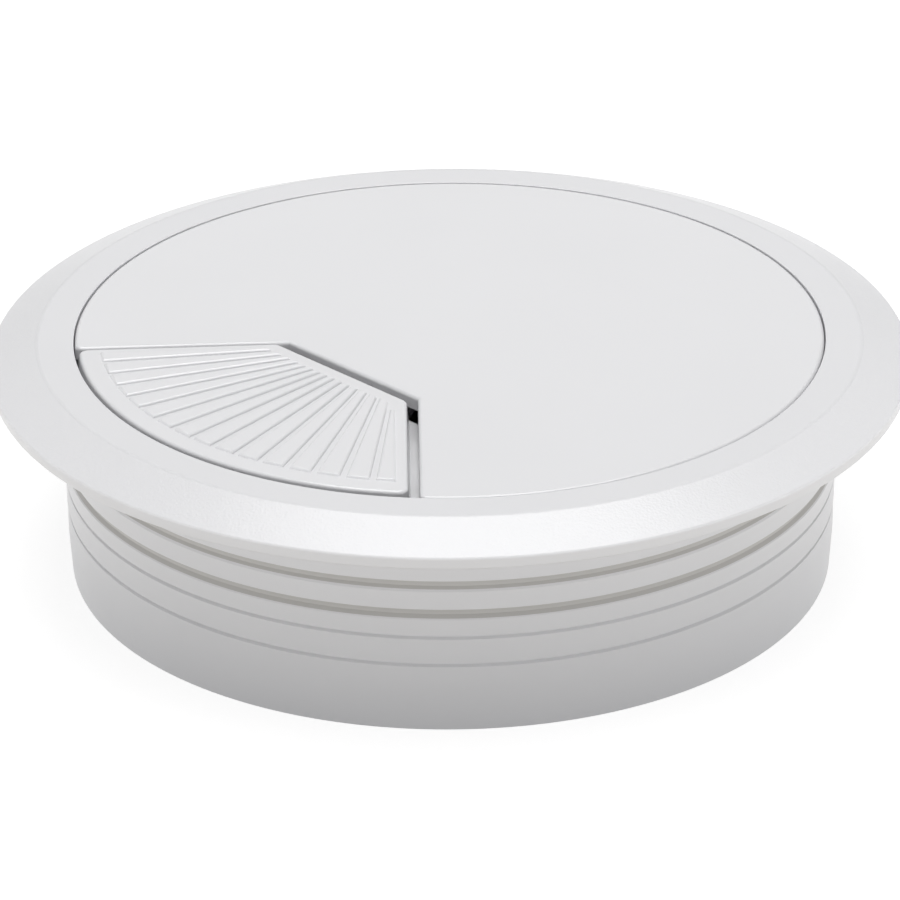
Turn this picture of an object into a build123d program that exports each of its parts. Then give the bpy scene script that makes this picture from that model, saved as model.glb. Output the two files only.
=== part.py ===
from build123d import *
import math
import os

# Cable grommet for a round hole in a desk top: a flanged ring, a cap that sits flush in it and can be
# turned, and a ribbed flap that closes the cable outlet in the cap and swings down on a hinge under it.
# Millimetres, Z up, with the origin on the grommet's axis at the lower rim of the sleeve.

# Flange and sleeve
desk_hole_diameter = 80.0
hole_clearance = 0.1
sleeve_depth = 21.45
sleeve_wall = 1.45
flange_overhang = 7.25
flange_diameter = desk_hole_diameter + 2 * (flange_overhang - hole_clearance)
flange_thickness = 3.35
flange_rim_height = 1.25
flange_rim_draft = 0.15
bevel_width = 4.95
bevel_blend_radius = 1.2
rim_edge_radius = 0.25

# Bands on the outside of the sleeve, each a little smaller than the one above it
first_band_height = 4.9
band_pitch = 3.1
band_step = 0.05
wide_groove_count = 2
wide_groove_height = 0.8
wide_groove_depth = 0.45
fine_groove_count = 2
fine_groove_height = 0.35
fine_groove_depth = 0.25
lead_in_height = 4.0
lead_in_depth = 0.25

# Cap: a plate with a skirt that stands on a bead inside the sleeve, and hooks that snap past the bead
cap_clearance = 0.2
cap_diameter = desk_hole_diameter - 2 * (hole_clearance + sleeve_wall + cap_clearance)
cap_thickness = 1.4
cap_edge_radius = 0.5
seat_edge_radius = 0.15
seat_depth = 9.2
seat_clearance = 0.1
skirt_wall = 1.5
bead_depth = 0.55
bead_height = 0.9
bead_chamfer = 0.5
hook_width = 8.0
hook_wall = 1.1
hook_clearance = 0.25
barb_height = 1.4
barb_depth = 0.6
hook_slit_width = 1.0
hook_slit_height = 4.5

# Cable outlet in the cap: two straight edges and a chord, each a line at a distance from the axis
outlet_heading_start = 183.1
outlet_heading_end = 270.6
outlet_start_offset = 1.75
outlet_end_offset = 3.4
chord_heading = 224.0
chord_offset = 13.6
outlet_corner_radius = 0.7

# Flap: a hollow fan-shaped pad with a lip that runs on under the cap
start_gap = 0.3
end_gap = 1.1
chord_gap = 1.1
rim_gap = 0.55
arc_shift = 0.8
pad_corner_radius = 1.0
pad_edge_radius = 0.5
pad_lean = 0.25
pad_skin = 1.4
pad_wall = 1.2
lip_drop = 2.6
lip_thickness = 1.2
lip_overlap = 0.9
chord_lip_width = 0.7
lip_rim_setback = 1.0
lip_clearance = 0.5

# Raised panels that give the pad its grip, parted by grooves that fan out from the pad's own apex
panel_count = 16
panel_rise = 0.25
panel_lean = 0.2
panel_start_margin = 1.8
panel_end_margin = 1.15
panel_outer_margin = 2.0
panel_inner_margin = 1.7
groove_outer_width = 0.55
groove_lead = 0.4
fan_start_shift = 0.8
fan_end_shift = 0.25

# Hinge: stub pins of the flap in two ears under the cap, on a line along the chord
hinge_setback = 2.6
barrel_diameter = 2.4
barrel_length = 6.0
pin_diameter = 1.6
pin_clearance = 0.08
pin_end_clearance = 0.3
ear_gap = 0.25
ear_thickness = 1.7
ear_wall = 0.7
stop_length = 5.0
stop_width = 0.7
stop_reach = 28.0
stop_clearance = 0.1

# Heights above the lower rim of the sleeve
flange_underside = sleeve_depth
top = flange_underside + flange_thickness
cap_underside = top - cap_thickness
lip_top = top - lip_drop
lip_bottom = lip_top - lip_thickness
hinge_height = (lip_top + lip_bottom) / 2
bead_top = top - seat_depth
bead_bottom = bead_top - bead_height - bead_chamfer
skirt_bottom = bead_top + seat_clearance
barb_top = bead_bottom - hook_clearance
hook_tip = barb_top - barb_height

# Radii about the grommet's axis
sleeve_radius = desk_hole_diameter / 2 - hole_clearance
flange_radius = flange_diameter / 2
cap_radius = cap_diameter / 2
bore_radius = cap_radius + cap_clearance
bead_radius = bore_radius - bead_depth
hook_radius = bead_radius - hook_clearance
pad_radius = bore_radius - rim_gap - arc_shift
lip_radius = pad_radius - lip_rim_setback
hinge_offset = chord_offset - hinge_setback
far = 2 * flange_radius


def spun(points, rounds=()):
    """Solid of revolution about Z, with some corners of its section rounded."""
    section = make_face(Polyline(*points, close=True))
    for corner, radius in rounds:
        nearest = section.vertices().sort_by_distance(Vector(*corner))[0]
        section = fillet(nearest, radius)
    return revolve(Plane.XZ * section, Axis.Z)


def raised(outline, low, high):
    return Pos(0, 0, low) * extrude(outline, high - low)


def towards(heading, distance):
    angle = math.radians(heading)
    return Vector(distance * math.cos(angle), distance * math.sin(angle))


def crossing(heading_a, distance_a, heading_b, distance_b):
    """Point that lies at the given distances from the axis along both headings."""
    a = towards(heading_a, 1)
    b = towards(heading_b, 1)
    spread = a.X * b.Y - a.Y * b.X
    x = (distance_a * b.Y - distance_b * a.Y) / spread
    y = (distance_b * a.X - distance_a * b.X) / spread
    return Vector(x, y)


start_normal = outlet_heading_start + 90
end_normal = outlet_heading_end - 90


def fan(start_inset, end_inset, chord_inset):
    """The outlet without its arc, drawn in from its two straight edges and its chord."""
    chord = chord_offset + chord_inset
    start = crossing(start_normal, outlet_start_offset + start_inset, chord_heading, chord)
    end = crossing(end_normal, outlet_end_offset + end_inset, chord_heading, chord)
    start_far = start + towards(outlet_heading_start, far)
    end_far = end + towards(outlet_heading_end, far)
    return make_face(Polyline(start, start_far, end_far, end, close=True))


def flap_circle(radius):
    """A circle about the centre of the flap's own arc, which is set over from the axis."""
    return Pos(towards(outlet_heading_start, arc_shift)) * Circle(radius)


def flap_outline(inset, radius):
    """The pad's outline, drawn in from its straight edges and its chord."""
    return fan(start_gap + inset, end_gap + inset, chord_gap + inset) & flap_circle(radius)


def make_sleeve_ring():
    bevel_start = flange_radius - bevel_width
    rim_top = flange_underside + flange_rim_height
    rim_foot = flange_radius - flange_rim_draft
    points = [(bore_radius, top), (bevel_start, top), (flange_radius, rim_top)]
    points += [(rim_foot, flange_underside), (sleeve_radius, flange_underside)]
    radius = sleeve_radius
    level = flange_underside - first_band_height
    for band in range(wide_groove_count + fine_groove_count):
        wide = band < wide_groove_count
        height = wide_groove_height if wide else fine_groove_height
        depth = wide_groove_depth if wide else fine_groove_depth
        points += [(radius, level), (radius - depth, level), (radius - depth, level - height)]
        radius -= band_step
        points.append((radius, level - height))
        level -= band_pitch
    points += [(radius, lead_in_height), (radius - lead_in_depth, 0), (bore_radius, 0)]
    points += [(bore_radius, bead_bottom), (bead_radius, bead_bottom + bead_chamfer)]
    points += [(bead_radius, bead_top), (bore_radius, bead_top)]
    rounds = [((bevel_start, top), bevel_blend_radius), ((flange_radius, rim_top), rim_edge_radius),
              ((rim_foot, flange_underside), rim_edge_radius), ((bore_radius, top), seat_edge_radius)]
    return spun(points, rounds)


def make_skirt():
    wall = Circle(cap_radius) - Circle(cap_radius - skirt_wall)
    beside_lip = -lip_overlap - lip_clearance
    wall = wall - fan(beside_lip, beside_lip, beside_lip)
    skirt = raised(wall, skirt_bottom, cap_underside)
    inner = hook_radius - hook_wall
    section = [(inner, cap_underside), (inner, hook_tip), (hook_radius, hook_tip),
               (hook_radius + barb_depth, barb_top - barb_depth), (hook_radius + barb_depth, barb_top),
               (hook_radius, barb_top), (hook_radius, cap_underside)]
    strip = Pos(far / 2, 0, top / 2) * Box(far, hook_width, 2 * top)
    hook = spun(section) & strip
    slit = Pos(cap_radius, 0, skirt_bottom + hook_slit_height / 2) * Box(
        4 * skirt_wall, hook_width + 2 * hook_slit_width, hook_slit_height)
    for quarter in (1, 2, 3):
        turn = Rot(0, 0, chord_heading + 90 * quarter)
        skirt = skirt - turn * (slit - strip) + turn * hook
    return skirt


def hinge_place(along):
    """A place on the hinge line, with Z along the line."""
    start = towards(chord_heading, hinge_offset)
    line = towards(chord_heading + 90, 1)
    return Plane(start + line * along + Vector(0, 0, hinge_height), x_dir=(0, 0, 1), z_dir=line)


def make_ears():
    pin_hole = pin_diameter / 2 + pin_clearance
    eye = pin_hole + ear_wall
    rise = cap_underside - hinge_height
    inner = barrel_length / 2 + ear_gap
    shape = Circle(eye) + Pos(rise / 2, 0) * Rectangle(rise, 2 * eye) - Circle(pin_hole)
    return [hinge_place(along) * extrude(shape, ear_thickness) for along in (inner, -inner - ear_thickness)]


def make_stops():
    """Two pads under the cap that the flap's lip comes up against."""
    stops = []
    for heading, normal, offset in ((outlet_heading_start, start_normal, outlet_start_offset),
                                    (outlet_heading_end, end_normal, outlet_end_offset)):
        place = towards(heading, stop_reach) + towards(normal, offset - stop_width / 2)
        pad = Pos(place) * Rot(0, 0, heading) * Rectangle(stop_length, stop_width)
        stops.append(raised(pad, lip_top + stop_clearance, cap_underside))
    return stops


def make_cap():
    outline = Rot(0, 0, chord_heading) * Circle(cap_radius) - fan(0, 0, 0)
    outline = fillet(outline.vertices().sort_by(SortBy.DISTANCE)[-2:], outlet_corner_radius)
    plate = raised(outline, cap_underside, top)
    plate = fillet(plate.faces().sort_by(Axis.Z)[-1].edges(), cap_edge_radius)
    return plate + make_skirt() + make_ears() + make_stops()


def make_panels():
    radius = pad_radius - panel_outer_margin
    field = fan(start_gap + panel_start_margin, end_gap + panel_end_margin, chord_gap + panel_inner_margin)
    field = field & flap_circle(radius)
    apex = crossing(start_normal, outlet_start_offset + start_gap + fan_start_shift,
                    end_normal, outlet_end_offset + end_gap + fan_end_shift)
    pitch = (outlet_heading_end - outlet_heading_start) / panel_count
    widths = (-groove_lead, groove_outer_width - groove_lead)
    turns = [math.degrees(math.atan(width / (radius - apex.length))) for width in widths]
    for number in range(1, panel_count):
        heading = outlet_heading_start + number * pitch
        sides = [apex + towards(heading + turn, far) for turn in turns]
        field = field - make_face(Polyline(apex, *sides, close=True))
    draft = math.degrees(math.atan(panel_lean / panel_rise))
    return [Pos(0, 0, top) * extrude(panel, panel_rise, taper=draft) for panel in field.faces()]


def make_hinge():
    pins_length = barrel_length + 2 * (ear_gap + ear_thickness - pin_end_clearance)
    barrel = hinge_place(-barrel_length / 2) * extrude(Circle(barrel_diameter / 2), barrel_length)
    pins = hinge_place(-pins_length / 2) * extrude(Circle(pin_diameter / 2), pins_length)
    return barrel + pins


def make_flap():
    outline = fillet(flap_outline(0, pad_radius).vertices(), pad_corner_radius)
    flare = math.degrees(math.atan(pad_lean / lip_drop))
    pad = Pos(0, 0, top) * extrude(outline, -lip_drop, taper=-flare)
    pad = fillet(pad.faces().sort_by(Axis.Z)[-1].edges(), pad_edge_radius)
    neck_length = chord_offset + chord_gap - hinge_offset
    neck = Pos(hinge_offset + neck_length / 2, 0) * Rectangle(neck_length, barrel_length)
    lip = fan(-lip_overlap, -lip_overlap, chord_gap - chord_lip_width) & flap_circle(lip_radius)
    lip = raised(lip + Rot(0, 0, chord_heading) * neck, lip_bottom, lip_top)
    hollow = raised(flap_outline(pad_wall, lip_radius - pad_wall), lip_bottom, top - pad_skin)
    return pad + lip + make_hinge() + make_panels() - hollow


os.makedirs("parts", exist_ok=True)
export_step(make_sleeve_ring(), "parts/sleeve_ring.step")
export_step(make_cap(), "parts/cap.step")
export_step(make_flap(), "parts/flap.step")
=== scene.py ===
import bmesh
import bpy
import math
from mathutils import Matrix, Vector


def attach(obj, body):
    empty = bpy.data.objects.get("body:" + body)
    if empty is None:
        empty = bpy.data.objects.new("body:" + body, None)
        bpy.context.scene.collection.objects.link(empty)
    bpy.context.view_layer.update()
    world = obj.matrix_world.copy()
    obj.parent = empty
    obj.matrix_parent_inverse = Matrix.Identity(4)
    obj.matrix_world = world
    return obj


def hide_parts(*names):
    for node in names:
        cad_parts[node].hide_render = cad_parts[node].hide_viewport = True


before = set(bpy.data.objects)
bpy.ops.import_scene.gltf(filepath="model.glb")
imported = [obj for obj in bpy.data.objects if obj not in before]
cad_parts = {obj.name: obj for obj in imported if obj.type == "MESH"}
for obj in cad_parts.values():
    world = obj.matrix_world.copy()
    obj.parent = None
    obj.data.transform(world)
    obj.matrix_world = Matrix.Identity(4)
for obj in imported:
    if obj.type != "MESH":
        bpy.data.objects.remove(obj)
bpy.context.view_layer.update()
print("frame loaded:", ", ".join(sorted(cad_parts)))

mm = 0.001
topHeight = 24.8 * mm        # the flat of the lid and the flange
hair = 0.001 * mm            # points closer than this count as one place
weld = 0.002 * mm            # points of a finished piece closer than this are joined
sharpTurn = 32               # degrees, edges that turn more than this stay sharp

# shader maths


class Wire:
    # one socket of a node tree, so that sums can be written on it
    def __init__(self, tree, socket=None):
        self.tree = tree
        self.socket = socket

    def node(self, kind, settings=None, sockets=None, out=0):
        made = self.tree.nodes.new(kind)
        for name, value in (settings or {}).items():
            setattr(made, name, value)
        for name, value in (sockets or {}).items():
            if isinstance(value, Wire):
                self.tree.links.new(value.socket, made.inputs[name])
            else:
                made.inputs[name].default_value = value
        return Wire(self.tree, made.outputs[out] if len(made.outputs) else None)

    def maths(self, operation, first, second):
        return self.node("ShaderNodeMath", {"operation": operation}, {0: first, 1: second})

    def mix(self, factor, first, second):
        # sockets 6 and 7 of a Mix node are its two colours, and output 2 is the mixed one
        return self.node("ShaderNodeMix", {"data_type": "RGBA"}, {"Factor": factor, 6: first, 7: second}, out=2)

    def __add__(self, other): return self.maths("ADD", self, other)
    def __radd__(self, other): return self.maths("ADD", other, self)
    def __sub__(self, other): return self.maths("SUBTRACT", self, other)
    def __rsub__(self, other): return self.maths("SUBTRACT", other, self)
    def __mul__(self, other): return self.maths("MULTIPLY", self, other)
    def __rmul__(self, other): return self.maths("MULTIPLY", other, self)
    def __truediv__(self, other): return self.maths("DIVIDE", self, other)
    def __rtruediv__(self, other): return self.maths("DIVIDE", other, self)
    def __gt__(self, other): return self.maths("GREATER_THAN", self, other)
    def __lt__(self, other): return self.maths("LESS_THAN", self, other)


def newTree(owner):
    owner.use_nodes = True
    owner.node_tree.nodes.clear()
    return Wire(owner.node_tree)


def rayKind(tree, *kinds):
    # 1 for a ray of any of these kinds
    found = 0.0
    for kind in kinds:
        found = tree.maths("MAXIMUM", found, tree.node("ShaderNodeLightPath", out=f"Is {kind} Ray"))
    return found


plasticLook = {
    "colour": (0.75, 0.75, 0.765, 1),
    "shade": (0.73, 0.73, 0.745, 1),
    "roughness": 0.3,
    "roughnessSwing": 0.06,
    "index": 1.59,
    "gloss": 0.5,
    "glossRoughness": 0.1,
    "grain": (2600.0, 2.0),        # cells per metre and detail
    "grainDepth": 0.000006,        # metres
    "cloud": (60.0, 3.0),          # cells per metre and detail
}
ringLook = plasticLook | {
    "gloss": 0.1,                          # the ring has a finer, duller skin than the lid
    "glossRoughness": 0.25,
    "slope": (42.3 * mm, 22.75 * mm),      # the flange's slope lies outside and above these
    "slopeGrain": (3600.0, 1.0),           # cells per metre and detail
    "slopeDepth": 6.0,                     # times the common depth
    "paintedShadeZone": (39.3 * mm, 39.7 * mm, 11.5 * mm, 17.0 * mm),   # where the painted shade lies: the wide grooves' radii and heights
    # painted shade: a darker colour inside the wide grooves, standing in for the shadow under each groove's upper
    # edge
    "paintedGrooveShade": (0.5, 0.49, 0.475, 1),
}


def makePlastic(name, look):
    material = bpy.data.materials.new(name)
    tree = newTree(material)
    place = tree.node("ShaderNodeTexCoord", out="Object")

    def noise(scale, detail):
        return tree.node("ShaderNodeTexNoise", {}, {"Vector": place, "Scale": scale, "Detail": detail})

    grain, cloud = noise(*look["grain"]), noise(*look["cloud"])
    colour = tree.mix(cloud, look["colour"], look["shade"])
    if "slope" in look:
        level = tree.node("ShaderNodeSeparateXYZ", {}, {"Vector": place}, out="Z")
        across = tree.node("ShaderNodeVectorMath", {"operation": "MULTIPLY"}, {0: place, 1: (1, 1, 0)})
        radius = tree.node("ShaderNodeVectorMath", {"operation": "LENGTH"}, {0: across}, out="Value")
        start, foot = look["slope"]
        onSlope = (radius > start) * (level > foot)
        grain = grain + noise(*look["slopeGrain"]) * look["slopeDepth"] * onSlope
        # painted shade: the wide grooves' walls get a darker colour, as if shaded by the edge above them
        inner, outer, low, high = look["paintedShadeZone"]
        inPaintedShade = (radius > inner) * (radius < outer) * (level > low) * (level < high)
        colour = tree.mix(inPaintedShade, colour, look["paintedGrooveShade"])
    bump = tree.node("ShaderNodeBump", {}, {"Height": grain, "Distance": look["grainDepth"], "Strength": 1.0})
    roughness = look["roughness"] + look["roughnessSwing"] * (cloud - 0.5)
    skin = tree.node("ShaderNodeBsdfPrincipled", {}, {
        "Base Color": colour, "Roughness": roughness, "IOR": look["index"],
        "Coat Weight": look["gloss"], "Coat Roughness": look["glossRoughness"], "Normal": bump})
    tree.node("ShaderNodeOutputMaterial", {}, {"Surface": skin})
    return material


plastic = makePlastic("whitePlastic", plasticLook)
ringPlastic = makePlastic("ringPlastic", ringLook)
print("plastic mixed")

# modelling helpers


def towards(heading, distance=1.0):
    angle = math.radians(heading)
    return Vector((math.cos(angle), math.sin(angle), 0)) * distance


def nearest(bm, place):
    return min(bm.verts, key=lambda vert: (vert.co - Vector(place)).length)


def vertsOf(geometry):
    return [element for element in geometry if isinstance(element, bmesh.types.BMVert)]


def edgesAt(bm, height):
    return [edge for edge in bm.edges if all(abs(vert.co.z - height) < hair for vert in edge.verts)]


def roundCorner(bm, corner, radius, segments):
    # rounds one corner of an outline to a radius
    first, second = ((edge.other_vert(corner).co - corner.co) for edge in corner.link_edges[:2])
    reach = radius / math.tan(first.angle(second) / 2)
    bmesh.ops.bevel(bm, geom=[corner], offset=reach, offset_type="OFFSET", affect="VERTICES",
                    segments=segments, profile=0.5, material=-1, clamp_overlap=False)


def roundArcCorners(bm, corners, radius, room, segments):
    # rounds corners beside an arc, with the arc's points within room times the radius taken out first
    places = [corner.co.copy() for corner in corners]
    crowd = [vert for vert in bm.verts if vert not in corners
             and any((vert.co - place).length < room * radius for place in places)]
    bmesh.ops.dissolve_verts(bm, verts=crowd)
    for place in places:
        roundCorner(bm, nearest(bm, place), radius, segments)


def roundEdges(bm, edges, radius, segments):
    bmesh.ops.bevel(bm, geom=edges, offset=radius, offset_type="OFFSET", affect="EDGES",
                    segments=segments, profile=0.5, material=-1, clamp_overlap=True)


def finishPiece(bm, name, body, node, material):
    bmesh.ops.remove_doubles(bm, verts=bm.verts[:], dist=weld)
    bmesh.ops.recalc_face_normals(bm, faces=bm.faces[:])
    mesh = bpy.data.meshes.new(name)
    bm.to_mesh(mesh)
    bm.free()
    mesh.shade_smooth()
    mesh.set_sharp_from_angle(angle=math.radians(sharpTurn))
    mesh.materials.append(material)
    piece = bpy.data.objects.new(name, mesh)
    bpy.context.scene.collection.objects.link(piece)
    weighted = piece.modifiers.new("flatFaces", "WEIGHTED_NORMAL")
    weighted.keep_sharp = True
    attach(piece, body)
    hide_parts(node)
    print(name, "made with", len(mesh.polygons), "faces")


# the ring: flange, sleeve with its bands and the bead inside

ring = {
    "boreRadius": 38.45 * mm,
    "bevelStart": 42.2 * mm,
    "rimRadius": 47.15 * mm,
    "rimFoot": 47.0 * mm,
    "rimTop": 22.7 * mm,
    "flangeUnderside": 21.45 * mm,
    "sleeveRadius": 39.9 * mm,
    "bandStep": 0.05 * mm,                                        # each band is smaller by this
    "wideTops": (16.5 * mm, 13.4 * mm),                           # the grooves' top edges
    "wideGroove": (0.35 * mm, 0.4 * mm, 0.65 * mm, 0.5 * mm),     # undercut, depth, wall height, lower slope
    "fineTops": (10.5 * mm, 7.45 * mm),
    "fineGroove": (0.32 * mm, 0.36 * mm, 0.22 * mm, 0.2 * mm),
    "leadIn": (4.0 * mm, 0.25 * mm),                              # height, depth
    "bead": (14.2 * mm, 14.7 * mm, 15.6 * mm, 0.55 * mm),         # low, middle, top, depth
    "bevelBlend": 1.2 * mm,
    "rimRound": 0.25 * mm,
    "boreRound": 0.1 * mm,
    "grooveRound": 0.06 * mm,
    "roundSteps": (0.2 * mm, 3, 6),        # up to this radius a round has 3 steps, and 6 above it
    "steps": 288,
}


def makeRing(look):
    bore, rimTop, under = look["boreRadius"], look["rimTop"], look["flangeUnderside"]
    outline = [(bore, topHeight), (look["bevelStart"], topHeight), (look["rimRadius"], rimTop),
               (look["rimFoot"], under), (look["sleeveRadius"], under)]
    sizes = (look["boreRound"], look["bevelBlend"], look["rimRound"], look["rimRound"])
    rounds = dict(zip(outline, sizes))            # outline corner: radius
    grooves = [(top, *look["wideGroove"]) for top in look["wideTops"]]
    grooves += [(top, *look["fineGroove"]) for top in look["fineTops"]]
    radius = look["sleeveRadius"]
    for level, undercut, depth, wall, slope in grooves:
        upper, lower = (radius, level), (radius - look["bandStep"], level - wall - slope)
        outline += [upper, (radius - undercut, level), (radius - depth, level - wall), lower]
        rounds[upper] = rounds[lower] = look["grooveRound"]
        radius -= look["bandStep"]
    leadHeight, leadDepth = look["leadIn"]
    low, middle, high, depth = look["bead"]
    outline += [(radius, leadHeight), (radius - leadDepth, 0), (bore, 0), (bore, low),
                (bore - depth, middle), (bore - depth, high), (bore, high)]
    bm = bmesh.new()
    corners = [bm.verts.new((r, 0, z)) for r, z in outline]
    bm.faces.new(corners)
    smallRound, fewSteps, manySteps = look["roundSteps"]
    for (r, z), size in rounds.items():
        roundCorner(bm, nearest(bm, (r, 0, z)), size, manySteps if size > smallRound else fewSteps)
    bmesh.ops.delete(bm, geom=bm.faces[:], context="FACES_ONLY")
    bmesh.ops.spin(bm, geom=bm.verts[:] + bm.edges[:], axis=(0, 0, 1), cent=(0, 0, 0),
                   angle=math.tau, steps=look["steps"], use_merge=True)
    finishPiece(bm, "sleeveRing", "ring", "sleeve_ring", ringPlastic)


makeRing(ring)

# the outlet that the cap leaves open and the flap fills

outlet = {
    "startHeading": 183.1,
    "endHeading": 270.6,
    "chordHeading": 224.0,
    "startOffset": 1.75 * mm,
    "endOffset": 3.4 * mm,
    "chordOffset": 13.6 * mm,
    "gaps": (0.3 * mm, 1.1 * mm, 1.1 * mm),      # beside the pad at the start edge, end edge and chord
    "arcShift": 0.8 * mm,      # the flap's arc is struck from a centre of its own
    "steps": 256,
    "cornerRoom": 1.6,
    "cornerSteps": 6,
}
startNormal = towards(outlet["startHeading"] + 90)
endNormal = towards(outlet["endHeading"] - 90)
chordNormal = towards(outlet["chordHeading"])
flapCentre = towards(outlet["startHeading"], outlet["arcShift"])


def outletLines(startInset, endInset, chordInset):
    return [(startNormal, outlet["startOffset"] + startInset), (endNormal, outlet["endOffset"] + endInset),
            (chordNormal, outlet["chordOffset"] + chordInset)]


def padLines(*insets):
    # the pad's own edges, drawn in by one inset or by one for each edge
    if len(insets) == 1:
        insets = insets * 3
    return outletLines(*(gap + inset for gap, inset in zip(outlet["gaps"], insets)))


def cutAlong(bm, lines, clear):
    for normal, offset in lines:
        bmesh.ops.bisect_plane(bm, geom=bm.verts[:] + bm.edges[:] + bm.faces[:], dist=hair,
                               plane_co=normal * offset, plane_no=normal, clear_inner=clear)


def inOutlet(place, lines):
    return all(place.dot(normal) > offset for normal, offset in lines)


def fanShape(height, lines, radius, rounding=0.0):
    # a new bmesh with one face of the outlet's shape, cut out of a disc about the flap's centre
    bm = bmesh.new()
    bmesh.ops.create_circle(bm, cap_ends=True, radius=radius, segments=outlet["steps"],
                            matrix=Matrix.Translation(flapCentre + Vector((0, 0, height))))
    cutAlong(bm, lines, True)
    if rounding:
        corners = sorted(bm.verts, key=lambda vert: min(abs(vert.co.dot(n) - o) for n, o in lines[:2]))[:4]
        roundArcCorners(bm, corners, rounding, outlet["cornerRoom"], outlet["cornerSteps"])
    return bm


def pour(bm, part):
    # adds one bmesh to another
    mesh = bpy.data.meshes.new("passing")
    part.to_mesh(mesh)
    part.free()
    bm.from_mesh(mesh)
    bpy.data.meshes.remove(mesh)


def lift(bm, edges, height):
    # draws walls up or down from an outline to a height
    for vert in vertsOf(bmesh.ops.extrude_edge_only(bm, edges=edges)["geom"]):
        vert.co.z = height


def fillBetween(bm, height):
    # closes the flat ring between the two open outlines at a height
    outlines = [edge for edge in edgesAt(bm, height) if edge.is_boundary]
    bmesh.ops.triangle_fill(bm, edges=outlines, use_beauty=True)


# the hinge under the chord, which the cap's ears and the flap's pins share

hinge = {
    "offset": 11.0 * mm,
    "height": 21.6 * mm,
    "barrelRadius": 1.2 * mm,
    "barrelLength": 6.0 * mm,
    "pinRadius": 0.8 * mm,
    "pinsLength": 9.3 * mm,
    "pinSteps": 40,
    "earHole": 0.88 * mm,
    "earRadius": 1.58 * mm,
    "earStart": 3.25 * mm,
    "earThickness": 1.7 * mm,
    "earSteps": 32,
}
hingeLine = towards(outlet["chordHeading"] + 90)


def hingeFrame(along):
    # local X up, Y across the hinge, Z along it
    up = Vector((0, 0, 1))
    turn = Matrix((up, hingeLine.cross(up), hingeLine)).transposed().to_4x4()
    place = chordNormal * hinge["offset"] + hingeLine * along + up * hinge["height"]
    return Matrix.Translation(place) @ turn


def addBlock(bm, middle, heading, size):
    # a box with its length along a heading
    turn = Matrix.Rotation(math.radians(heading), 4, "Z")
    bmesh.ops.create_cube(bm, size=1, matrix=Matrix.Translation(middle) @ turn @ Matrix.Diagonal((*size, 1)))


# the cap: plate, skirt, hooks, ears of the hinge and stops

cap = {
    "radius": 38.35 * mm,
    "thickness": 1.4 * mm,
    "edgeRound": 0.38 * mm,
    "edgeSteps": 5,
    "cornerRound": 0.7 * mm,
    "cornerRoom": 1.4,
    "cornerSteps": 5,
    "cornerReach": 0.02 * mm,  # how far from the radius a corner may lie
    "skirtWall": 1.5 * mm,
    "skirtBottom": 15.7 * mm,
    "skirtGap": 1.4 * mm,      # how far the skirt stops beside the outlet
    "hookRadius": 37.65 * mm,
    "hookWall": 1.1 * mm,
    "hookTurn": 6.0,           # degrees each side of the middle
    "slitTurn": 7.5,
    "slitHeight": 4.5 * mm,
    "barbTop": 13.95 * mm,
    "barbDepth": 0.6 * mm,
    "hookTip": 12.55 * mm,
    "stopReach": 28.0 * mm,
    "stopSize": (5.0 * mm, 0.7 * mm),
    "stopBottom": 22.3 * mm,
    "steps": 256,
    "sweepStep": 1.5,          # degrees
}
capUnderside = topHeight - cap["thickness"]


def sweep(bm, section, startHeading, endHeading):
    # a closed section of (radius, height) points, swept round the axis between two headings
    stepCount = max(2, round((endHeading - startHeading) / cap["sweepStep"]))
    turn = Matrix.Rotation(math.radians(startHeading), 4, "Z")
    face = bm.faces.new([bm.verts.new(turn @ Vector((r, 0, z))) for r, z in section])
    bmesh.ops.spin(bm, geom=[face], axis=(0, 0, 1), cent=(0, 0, 0),
                   angle=math.radians(endHeading - startHeading), steps=stepCount)


def addSkirt(bm, look):
    outer, inner, low = look["radius"], look["radius"] - look["skirtWall"], look["skirtBottom"]
    slitTop = low + look["slitHeight"]
    gap = look["skirtGap"]
    first = outlet["endHeading"] + math.degrees(math.asin((gap - outlet["endOffset"]) / outer))
    last = 360 + outlet["startHeading"] - math.degrees(math.asin((gap - outlet["startOffset"]) / outer))
    sweep(bm, [(inner, slitTop), (outer, slitTop), (outer, capUnderside), (inner, capUnderside)], first, last)
    hooks = [outlet["chordHeading"] + 90 * quarter for quarter in (1, 2, 3)]
    turns = (-look["slitTurn"], -look["hookTurn"], look["hookTurn"], look["slitTurn"])
    breaks = [first] + [hook + turn for hook in hooks for turn in turns] + [last]
    lower = [(inner, low), (outer, low), (outer, slitTop), (inner, slitTop)]
    for startHeading, endHeading in zip(breaks[::2], breaks[1::2]):
        sweep(bm, lower, startHeading, endHeading)
    face = look["hookRadius"]
    back, barb, tip = face - look["hookWall"], face + look["barbDepth"], look["barbTop"] - look["barbDepth"]
    hookSection = [(back, capUnderside), (back, look["hookTip"]), (face, look["hookTip"]), (barb, tip),
                   (barb, look["barbTop"]), (face, look["barbTop"]), (face, capUnderside)]
    for hook in hooks:
        sweep(bm, hookSection, hook - look["hookTurn"], hook + look["hookTurn"])


def addEars(bm):
    rise = capUnderside - hinge["height"]
    middleRadius = (hinge["earHole"] + hinge["earRadius"]) / 2
    for along in (hinge["earStart"], -hinge["earStart"] - hinge["earThickness"]):
        place = hingeFrame(along)
        back = place.inverted()
        known = set(bm.edges)
        for radius in (hinge["earRadius"], hinge["earHole"]):
            bmesh.ops.create_circle(bm, radius=radius, segments=hinge["earSteps"], matrix=place)
        rims = [edge for edge in bm.edges if edge not in known]
        for vert in {vert for edge in rims for vert in edge.verts}:
            local = back @ vert.co
            if local.length > middleRadius and local.x > hair:      # the outer top half runs up to the plate
                vert.co = place @ Vector((rise, local.y, 0))
        faces = bmesh.ops.bridge_loops(bm, edges=rims)["faces"]
        far = bmesh.ops.extrude_face_region(bm, geom=faces)["geom"]
        bmesh.ops.translate(bm, verts=vertsOf(far), vec=hingeLine * hinge["earThickness"])


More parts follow.
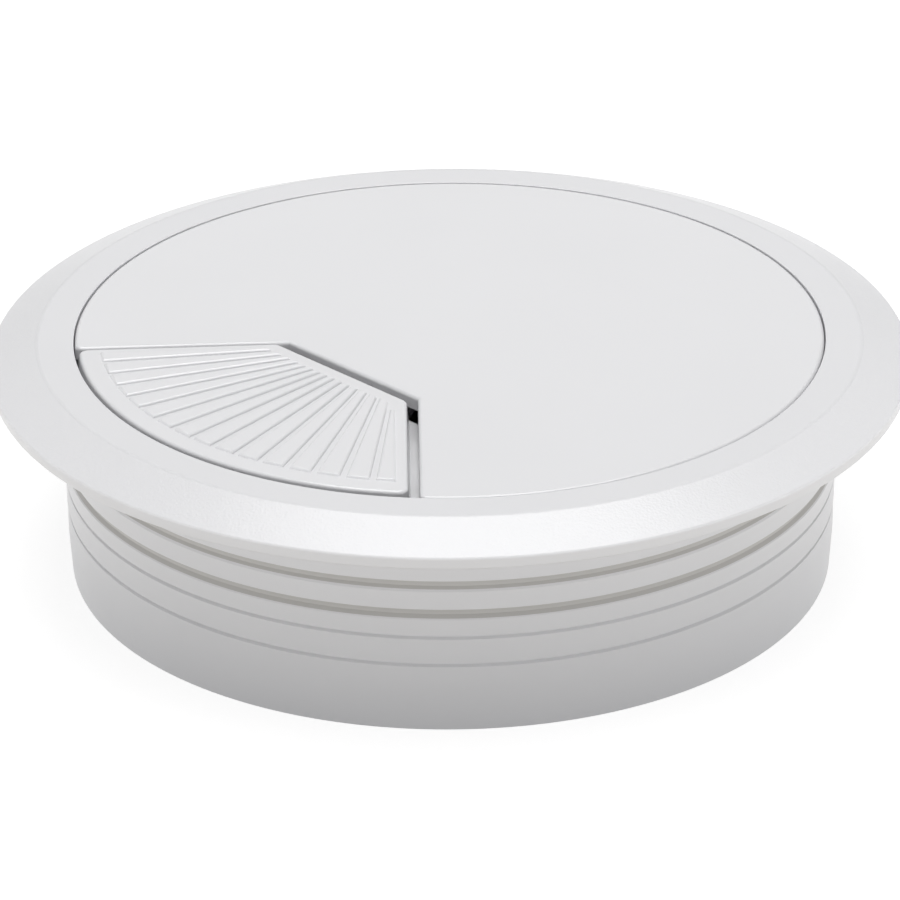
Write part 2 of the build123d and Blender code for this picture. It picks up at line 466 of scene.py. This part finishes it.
def addStops(bm, look):
    length, width = look["stopSize"]
    height = capUnderside - look["stopBottom"]
    for heading, normal, offset in ((outlet["startHeading"], startNormal, outlet["startOffset"]),
                                    (outlet["endHeading"], endNormal, outlet["endOffset"])):
        middle = towards(heading, look["stopReach"]) + normal * (offset - width / 2)
        middle.z = look["stopBottom"] + height / 2
        addBlock(bm, middle, heading, (length, width, height))


def makeCap(look):
    bm = bmesh.new()
    bmesh.ops.create_circle(bm, cap_ends=True, radius=look["radius"], segments=look["steps"],
                            matrix=Matrix.Translation((0, 0, topHeight)))
    lines = outletLines(0, 0, 0)
    cutAlong(bm, lines, False)
    inside = [face for face in bm.faces if inOutlet(face.calc_center_median(), lines)]
    bmesh.ops.delete(bm, geom=inside, context="FACES")
    bmesh.ops.dissolve_faces(bm, faces=bm.faces[:])
    corners = [vert for vert in bm.verts
               if abs(math.hypot(vert.co.x, vert.co.y) - look["radius"]) < look["cornerReach"]
               and min(abs(vert.co.dot(normal) - offset) for normal, offset in lines[:2]) < weld
               and vert.co.dot(chordNormal) > 0]
    roundArcCorners(bm, corners, look["cornerRound"], look["cornerRoom"], look["cornerSteps"])
    low = bmesh.ops.extrude_face_region(bm, geom=bm.faces[:])["geom"]
    bmesh.ops.translate(bm, verts=vertsOf(low), vec=(0, 0, -look["thickness"]))
    roundEdges(bm, edgesAt(bm, topHeight), look["edgeRound"], look["edgeSteps"])
    addSkirt(bm, look)
    addEars(bm)
    addStops(bm, look)
    finishPiece(bm, "capLid", "cap", "cap", plastic)


makeCap(cap)

# the flap: raised panels on a hollow pad, with lip, neck and hinge barrel

panels = {
    "count": 16,
    "rise": 0.25 * mm,
    "sink": 0.04 * mm,                   # how deep the panels' feet stand in the pad
    "lean": 0.12 * mm,
    "topRound": 0.18 * mm,
    "topSteps": 4,
    "margins": (1.1 * mm, 1.15 * mm, 1.7 * mm),      # from the pad's start edge, end edge and chord
    "radius": 35.1 * mm,
    "groove": (-0.4 * mm, 0.15 * mm),    # its sides at the outer end, before and past its ray
    "apexShift": (0.8 * mm, 0.25 * mm),  # the rays' apex, from the pad's start and end edges
    "tipWidth": 0.55 * mm,               # the wedge-shaped panels at the ends stop where they get this narrow
    "arcTurn": 165,                      # degrees, a point with a wider angle lies on the arc
}


def aimOf(face, apex):
    away = face.calc_center_median() - apex
    return math.degrees(math.atan2(away.y, away.x)) % 360


def addPanels(bm, look):
    part = fanShape(topHeight - look["sink"], padLines(*look["margins"]), look["radius"])
    normals, offsets = zip(*padLines(*look["apexShift"], 0)[:2])
    apex = (Matrix([normal[:2] for normal in normals]).inverted() @ Vector(offsets)).to_3d()
    pitch = (outlet["endHeading"] - outlet["startHeading"]) / look["count"]
    turns = [math.degrees(math.atan(side / (look["radius"] - apex.length))) for side in look["groove"]]
    rays = [outlet["startHeading"] + number * pitch for number in range(1, look["count"])]
    for ray in rays:
        for turn in turns:
            bmesh.ops.bisect_plane(part, geom=part.verts[:] + part.edges[:] + part.faces[:], dist=hair,
                                   plane_co=apex, plane_no=towards(ray + turn + 90))
    strips = [face for face in part.faces if any(turns[0] < aimOf(face, apex) - ray < turns[1] for ray in rays)]
    bmesh.ops.delete(part, geom=strips, context="FACES")
    wedges = sorted(part.faces, key=lambda face: aimOf(face, apex))
    ends = ((wedges[0], rays[0], pitch + turns[0]), (wedges[-1], rays[-1], pitch - turns[1]))
    for (wedge, ray, spread), margin, shift in zip(ends, look["margins"], look["apexShift"]):
        tip = apex + towards(ray, (margin - shift + look["tipWidth"]) / math.tan(math.radians(spread)))
        bmesh.ops.bisect_plane(part, geom=[*wedge.verts, *wedge.edges, wedge], dist=hair,
                               plane_co=tip, plane_no=towards(ray), clear_inner=True)
    arcTurn = math.radians(look["arcTurn"])
    onArc = {loop.vert: True for face in part.faces for loop in face.loops if loop.calc_angle() > arcTurn}
    bmesh.ops.dissolve_verts(part, verts=list(onArc))       # the narrow outer ends may run straight
    for face in part.faces[:]:
        bmesh.ops.inset_individual(part, faces=[face], thickness=look["lean"], depth=look["rise"] + look["sink"],
                                   use_even_offset=True)
        roundEdges(part, face.edges[:], look["topRound"], look["topSteps"])
    bmesh.ops.holes_fill(part, edges=[edge for edge in part.edges if edge.is_boundary])
    bmesh.ops.recalc_face_normals(part, faces=part.faces[:])
    pour(bm, part)


flap = {
    "padRadius": 37.22 * mm,
    "padLean": 0.25 * mm,
    "padEdgeRound": 0.34 * mm,
    "padEdgeSteps": 6,
    "padCornerRound": 1.0 * mm,
    "padSkin": 1.4 * mm,
    "padWall": 1.2 * mm,
    "padSink": 0.04 * mm,       # how far pad, lip and neck stand in each other
    "lipTop": 22.2 * mm,
    "lipBottom": 21.0 * mm,
    "lipOverlap": 0.9 * mm,     # how far the lip reaches under the cap
    "chordLipWidth": 0.7 * mm,
    "lipRadius": 36.1 * mm,
}


def addPad(bm, look, foot):
    lean, wall = look["padLean"], look["padWall"]
    pour(bm, fanShape(foot, padLines(-lean), look["padRadius"] + lean, look["padCornerRound"] + lean))
    bmesh.ops.inset_individual(bm, faces=bm.faces[:], thickness=lean, depth=topHeight - foot, use_even_offset=True)
    roundEdges(bm, edgesAt(bm, topHeight), look["padEdgeRound"], look["padEdgeSteps"])
    hollow = fanShape(topHeight - look["padSkin"], padLines(wall), look["lipRadius"] - wall)
    lift(hollow, hollow.edges[:], foot)
    pour(bm, hollow)
    fillBetween(bm, foot)


def addLip(bm, look):
    overlap, wall = look["lipOverlap"], look["padWall"] - look["padSink"]
    chordInset = outlet["gaps"][2] - look["chordLipWidth"]
    lip = fanShape(look["lipTop"], outletLines(-overlap, -overlap, chordInset), look["lipRadius"])
    pour(lip, fanShape(look["lipTop"], padLines(wall), look["lipRadius"] - wall))
    bmesh.ops.delete(lip, geom=lip.faces[:], context="FACES_ONLY")
    lift(lip, lip.edges[:], look["lipBottom"])
    for height in (look["lipTop"], look["lipBottom"]):
        fillBetween(lip, height)
    pour(bm, lip)


def addHinge(bm, look):
    neckStart, neckEnd = hinge["offset"], outlet["chordOffset"] + outlet["gaps"][2]
    middle = chordNormal * (neckStart + neckEnd) / 2 + Vector((0, 0, hinge["height"]))
    height = look["lipTop"] - look["lipBottom"] - 2 * look["padSink"]      # no face of it lies in a face of the lip
    addBlock(bm, middle, outlet["chordHeading"], (neckEnd - neckStart, hinge["barrelLength"], height))
    rods = ((hinge["barrelRadius"], hinge["barrelLength"]), (hinge["pinRadius"], hinge["pinsLength"]))
    for radius, length in rods:
        bmesh.ops.create_cone(bm, cap_ends=True, segments=hinge["pinSteps"], radius1=radius, radius2=radius,
                              depth=length, matrix=hingeFrame(0))


def makeFlap(look):
    bm = bmesh.new()
    addPad(bm, look, look["lipTop"] - look["padSink"])
    addLip(bm, look)
    addHinge(bm, look)
    addPanels(bm, panels)
    finishPiece(bm, "flapLid", "flap", "flap", plastic)


makeFlap(flap)

# floor, light and camera

studio = {
    "floorSize": 6.0,
    "paintedShadowFloor": (45 * mm, (0.03, 0.03, 0.028, 1)),    # distance from the axis and colour of a painted contact shadow, which only bounced light meets; it fades to the far floor's colour
    "farFloor": (95 * mm, (0.88, 0.85, 0.8, 1)),
    "footRadius": 38.7 * mm,       # the floor inside the sleeve isn't lit up
    "shownFloor": (0.3, 0.3, 0.3, 1),
    "glow": 0.84,                  # makes the shown floor white where no shadow lies on it
    "ambient": 0.2,
    "walls": 0.55,                 # the room as the gloss mirrors it
    # place, aim, width and length, power, and whether the gloss mirrors it
    "lamps": {
        "overhead": ((0.04, 0.05, 1.0), (0.04, 0.05, 0), (0.72, 0.98), 8.3, True),
        "rear": ((0, 1.2, 0.62), (0, 0, 0), (0.6, 0.7), 0.7, True),
        "leftFill": ((-0.94, -0.46, 0.11), (0, 0, 0.012), (0.9, 0.18), 4.3, False),
        "rightFill": ((0.94, -0.46, 0.11), (0, 0, 0.012), (0.9, 0.18), 4.7, False),
        "frontFill": ((0, -1.4, 0.3), (0, 0, 0.012), (1.4, 0.4), 0.9, False),
    },
}


def makeFloor(look):
    bm = bmesh.new()
    bmesh.ops.create_grid(bm, x_segments=1, y_segments=1, size=look["floorSize"] / 2)
    mesh = bpy.data.meshes.new("floor")
    bm.to_mesh(mesh)
    bm.free()
    floor = bpy.data.objects.new("floor", mesh)
    bpy.context.scene.collection.objects.link(floor)
    material = bpy.data.materials.new("floorWhite")
    tree = newTree(material)
    place = tree.node("ShaderNodeTexCoord", out="Object")
    away = tree.node("ShaderNodeVectorMath", {"operation": "LENGTH"}, {0: place}, out="Value")
    (near, dark), (far, pale) = look["paintedShadowFloor"], look["farFloor"]
    paintedShadowPaper, palePaper, shownPaper = (tree.node("ShaderNodeBsdfDiffuse", {}, {"Color": colour})
                                        for colour in (dark, pale, look["shownFloor"]))
    # painted shadow: bounced light meets a near-black floor around the foot, fading to the pale paper further out
    paintedShadowFade = tree.maths("MAXIMUM", (away - near) / (far - near), away < look["footRadius"])
    paper = tree.node("ShaderNodeMixShader", {}, {0: paintedShadowFade, 1: paintedShadowPaper, 2: palePaper})
    glow = tree.node("ShaderNodeEmission", {}, {"Color": (1, 1, 1, 1), "Strength": look["glow"]})
    shown = tree.node("ShaderNodeAddShader", {}, {0: shownPaper, 1: glow})
    seen = rayKind(tree, "Camera", "Glossy", "Transmission") * (away > look["footRadius"])
    surface = tree.node("ShaderNodeMixShader", {}, {0: seen, 1: paper, 2: shown})
    tree.node("ShaderNodeOutputMaterial", {}, {"Surface": surface})
    mesh.materials.append(material)


def addLamp(name, place, aim, size, power, mirrored):
    lamp = bpy.data.lights.new(name, "AREA")
    lamp.shape = "RECTANGLE"
    lamp.size, lamp.size_y = size
    lamp.energy = power
    box = bpy.data.objects.new(name, lamp)
    box.location = place
    box.rotation_euler = (Vector(aim) - Vector(place)).to_track_quat("-Z", "Y").to_euler()
    box.visible_glossy = mirrored
    bpy.context.scene.collection.objects.link(box)


def makeLight(look):
    world = bpy.data.worlds.new("studio")
    bpy.context.scene.world = world
    tree = newTree(world)
    air, wall, white = (tree.node("ShaderNodeBackground", {}, {"Color": (1, 1, 1, 1), "Strength": strength})
                        for strength in (look["ambient"], look["walls"], 1.0))
    sky = tree.node("ShaderNodeMixShader", {}, {0: rayKind(tree, "Glossy"), 1: air, 2: wall})
    sky = tree.node("ShaderNodeMixShader", {}, {0: rayKind(tree, "Camera", "Transmission"), 1: sky, 2: white})
    tree.node("ShaderNodeOutputWorld", {}, {"Surface": sky})
    for name, lamp in look["lamps"].items():
        addLamp(name, *lamp)


makeFloor(studio)
makeLight(studio)
print("floor and light made")

photoView = {
    "place": (-0.00061, -0.48367, 0.2478),
    "pitch": -26.076,
    "yaw": 0.069,
    "roll": -0.381,
    "lens": 207.92,
    "sensor": 36.0,
}


def makeCamera(look):
    pitch, yaw, roll = (math.radians(look[name]) for name in ("pitch", "yaw", "roll"))
    ahead = Vector((math.sin(yaw) * math.cos(pitch), math.cos(yaw) * math.cos(pitch), math.sin(pitch)))
    right = Vector((math.cos(yaw), -math.sin(yaw), 0))
    up = right.cross(ahead)
    across = math.cos(roll) * right + math.sin(roll) * up
    upright = math.cos(roll) * up - math.sin(roll) * right
    turn = Matrix((across, upright, -ahead)).transposed().to_4x4()
    lens = bpy.data.cameras.new("camera")
    lens.sensor_width = look["sensor"]
    lens.lens = look["lens"]
    camera = bpy.data.objects.new("camera", lens)
    camera.matrix_world = Matrix.Translation(look["place"]) @ turn
    bpy.context.scene.collection.objects.link(camera)
    bpy.context.scene.camera = camera


makeCamera(photoView)
bpy.context.scene.view_settings.view_transform = "Standard"
print("camera set")
